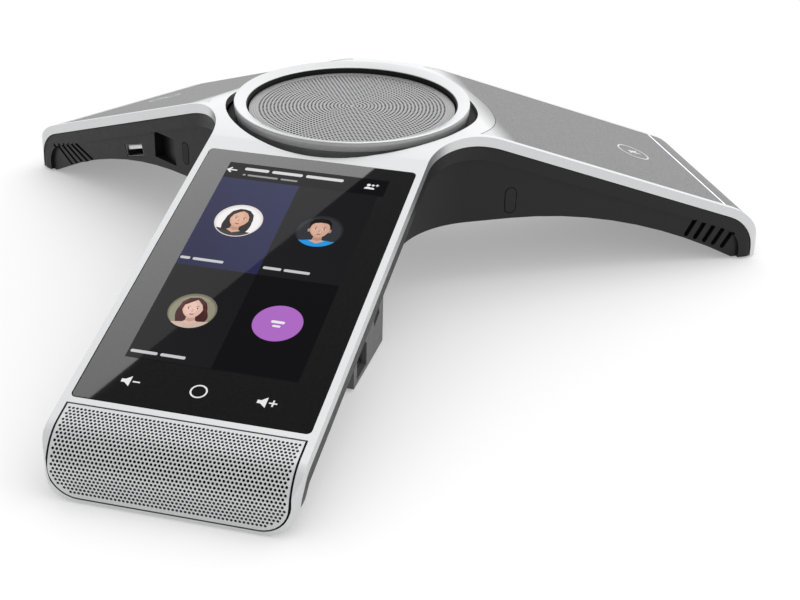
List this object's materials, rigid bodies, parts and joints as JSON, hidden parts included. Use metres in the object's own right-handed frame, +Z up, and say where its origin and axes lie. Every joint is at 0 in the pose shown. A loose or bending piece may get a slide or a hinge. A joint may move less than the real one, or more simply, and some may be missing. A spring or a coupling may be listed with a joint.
{
  "type": "conference phone",
  "caption": "Three-armed tabletop conference phone with a touch display on the front arm, a round central loudspeaker and perforated front grille.",
  "frame": {"origin": "middle of the footprint's bounding box, on the table", "axes": "+Z up, the display arm points to -Y, the two side arms lean back to +X and -X"},
  "size_m": [0.3408, 0.3336, 0.0706],
  "materials": {
    "silver_frame": "satin, fine bead-blasted",
    "housing_plastic": "fine moulded texture",
    "port_plastic": "fine moulded texture",
    "black_glass": "polished",
    "lcd_stack": "smooth",
    "sheet_steel": "bright",
    "flex_film": "satin film",
    "grille_metal": "satin",
    "black_cloth": "fine acoustic cloth",
    "arm_skin": "fine stipple",
    "light_bar": "translucent",
    "circuit_board": "solder mask",
    "soft_rubber": "matte",
    "speaker_mesh": "satin",
    "basket_steel": "black paint",
    "cone_paper": "pressed pulp",
    "magnet_ferrite": "ground",
    "lead_wire": "insulated",
    "white_plastic": "moulded",
    "button_plastic": "moulded",
    "screw_steel": "zinc plated"
  },
  "bodies": {
    "root": {"top_frame": "silver_frame", "lower_housing": "housing_plastic", "base_block": "port_plastic", "display_glass": "black_glass", "lcd_panel": "lcd_stack", "lcd_bracket": "sheet_steel", "display_flex": "flex_film", "front_grille": "grille_metal", "front_grille_cloth": "black_cloth", "right_arm_panel": "arm_skin", "left_arm_panel": "arm_skin", "right_end_cap": "arm_skin", "left_end_cap": "arm_skin", "right_led_bar": "light_bar", "left_led_bar": "light_bar", "right_touch_board": "circuit_board", "left_touch_board": "circuit_board", "speaker_ring": "silver_frame", "speaker_grille": "speaker_mesh", "speaker_gasket": "soft_rubber", "speaker_basket": "basket_steel", "speaker_surround": "soft_rubber", "speaker_magnet": "magnet_ferrite", "speaker_chamber": "housing_plastic", "speaker_lead": "lead_wire", "main_board": "circuit_board", "board_shield": "sheet_steel", "ethernet_jack": "sheet_steel", "usb_socket": "sheet_steel", "usb_tongue": "white_plastic", "side_port_plugs": "soft_rubber", "lock_slot_plate": "sheet_steel", "microphone_boards": "circuit_board", "microphone_boots": "soft_rubber", "radio_antennas": "flex_film", "vent_screens": "black_cloth", "rubber_feet": "soft_rubber", "housing_screws": "screw_steel", "board_screws": "screw_steel", "label_plate": "white_plastic"},
    "cone": {"speaker_cone": "cone_paper"},
    "reset": {"reset_button": "button_plastic"}
  },
  "joints": [
    {"name": "cone_travel", "type": "slide", "parent": "root", "child": "cone", "axis": [0, 0, 1], "range_m": [-0.002, 0.002], "stiffness_N_per_m": 1500},
    {"name": "reset_press", "type": "slide", "parent": "root", "child": "reset", "axis": [0, 0, 1], "range_m": [0, 0.0008], "stiffness_N_per_m": 800}
  ]
}
